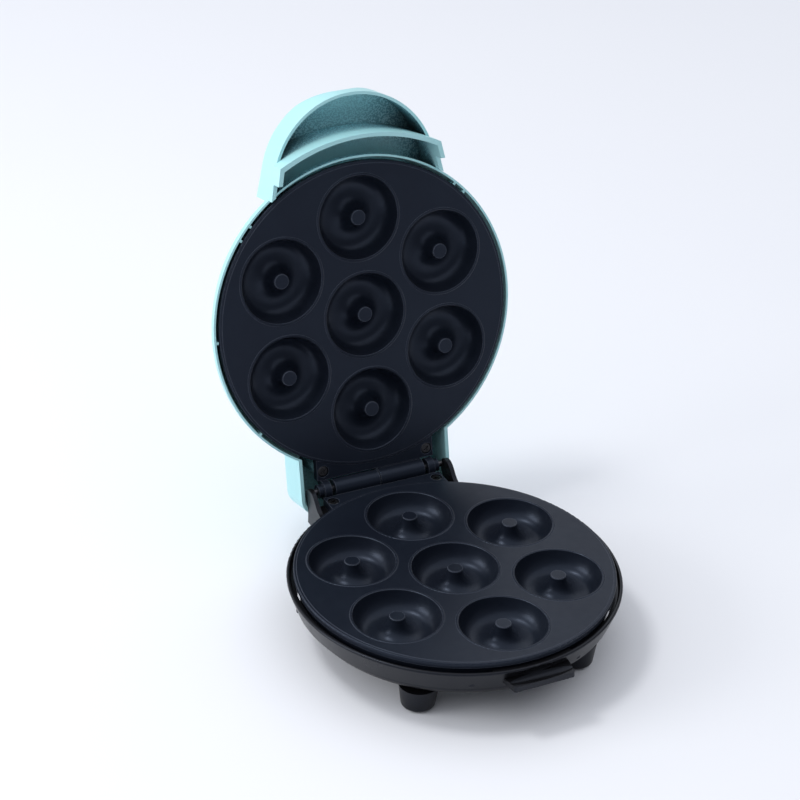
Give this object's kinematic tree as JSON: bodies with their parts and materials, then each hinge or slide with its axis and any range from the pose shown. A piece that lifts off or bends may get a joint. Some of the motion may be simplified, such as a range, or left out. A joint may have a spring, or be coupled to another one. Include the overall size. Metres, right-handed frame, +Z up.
{
  "type": "donut maker",
  "caption": "Round tabletop electric donut maker: two hinged non-stick plates with ring cups, aqua domed lid open on its stop, black base on feet.",
  "frame": {"origin": "bottom centre of the machine standing with its lid open on its stop", "axes": "+Z up, handle and finger lip towards -Y, hinge towards +Y, +X to the right seen from the front"},
  "size_m": [0.2006, 0.2882, 0.2852],
  "materials": {
    "lid_aqua": "satin aqua moulded plastic",
    "base_black": "satin black moulded plastic",
    "plate_coating": "dark blue-grey non-stick coating on a cast plate",
    "pin_steel": "bright steel",
    "screw_dark": "blackened steel",
    "element_sheath": "heat-stained steel tube",
    "spring_steel": "zinc-plated steel",
    "shield_sheet": "bright aluminium sheet",
    "thermostat_body": "brown phenolic",
    "fuse_sleeve": "woven glass sleeve",
    "terminal_white": "white moulded terminal body",
    "brass": "brass",
    "wire_brown": "brown insulated wire",
    "wire_blue": "blue insulated wire",
    "rubber_black": "black rubber",
    "lamp_lens": "tinted clear plastic",
    "holder_white": "white moulded holder",
    "lamp_glass": "neon lamp glass"
  },
  "bodies": {
    "base": {"base_housing": "base_black", "base_pan": "base_black", "foot_pads": "rubber_black", "base_screws": "screw_dark", "cord_gland": "rubber_black", "terminal_block": "terminal_white", "terminal_screws": "brass", "live_wire": "wire_brown", "neutral_wire": "wire_blue", "hinge_pin": "pin_steel", "thermostat": "thermostat_body", "thermostat_bracket": "spring_steel", "thermal_fuse": "fuse_sleeve", "lower_plate": "plate_coating", "lower_heating_element": "element_sheath", "lower_element_clips": "spring_steel", "lower_clip_screws": "pin_steel", "lower_heat_shield": "shield_sheet", "lower_hinge_screws": "screw_dark"},
    "lid": {"lid_shell": "lid_aqua", "upper_plate": "plate_coating", "upper_heating_element": "element_sheath", "upper_element_clips": "spring_steel", "upper_clip_screws": "pin_steel", "upper_heat_shield": "shield_sheet", "upper_hinge_screws": "screw_dark", "lamp_lenses": "lamp_lens", "lamp_holder": "holder_white", "neon_lamps": "lamp_glass"}
  },
  "joints": [
    {"name": "lid_hinge", "type": "hinge", "parent": "base", "child": "lid", "pos_m": [0, 0.0702, 0.045], "axis": [1, 0, 0], "range_deg": [0, 102.7]}
  ]
}
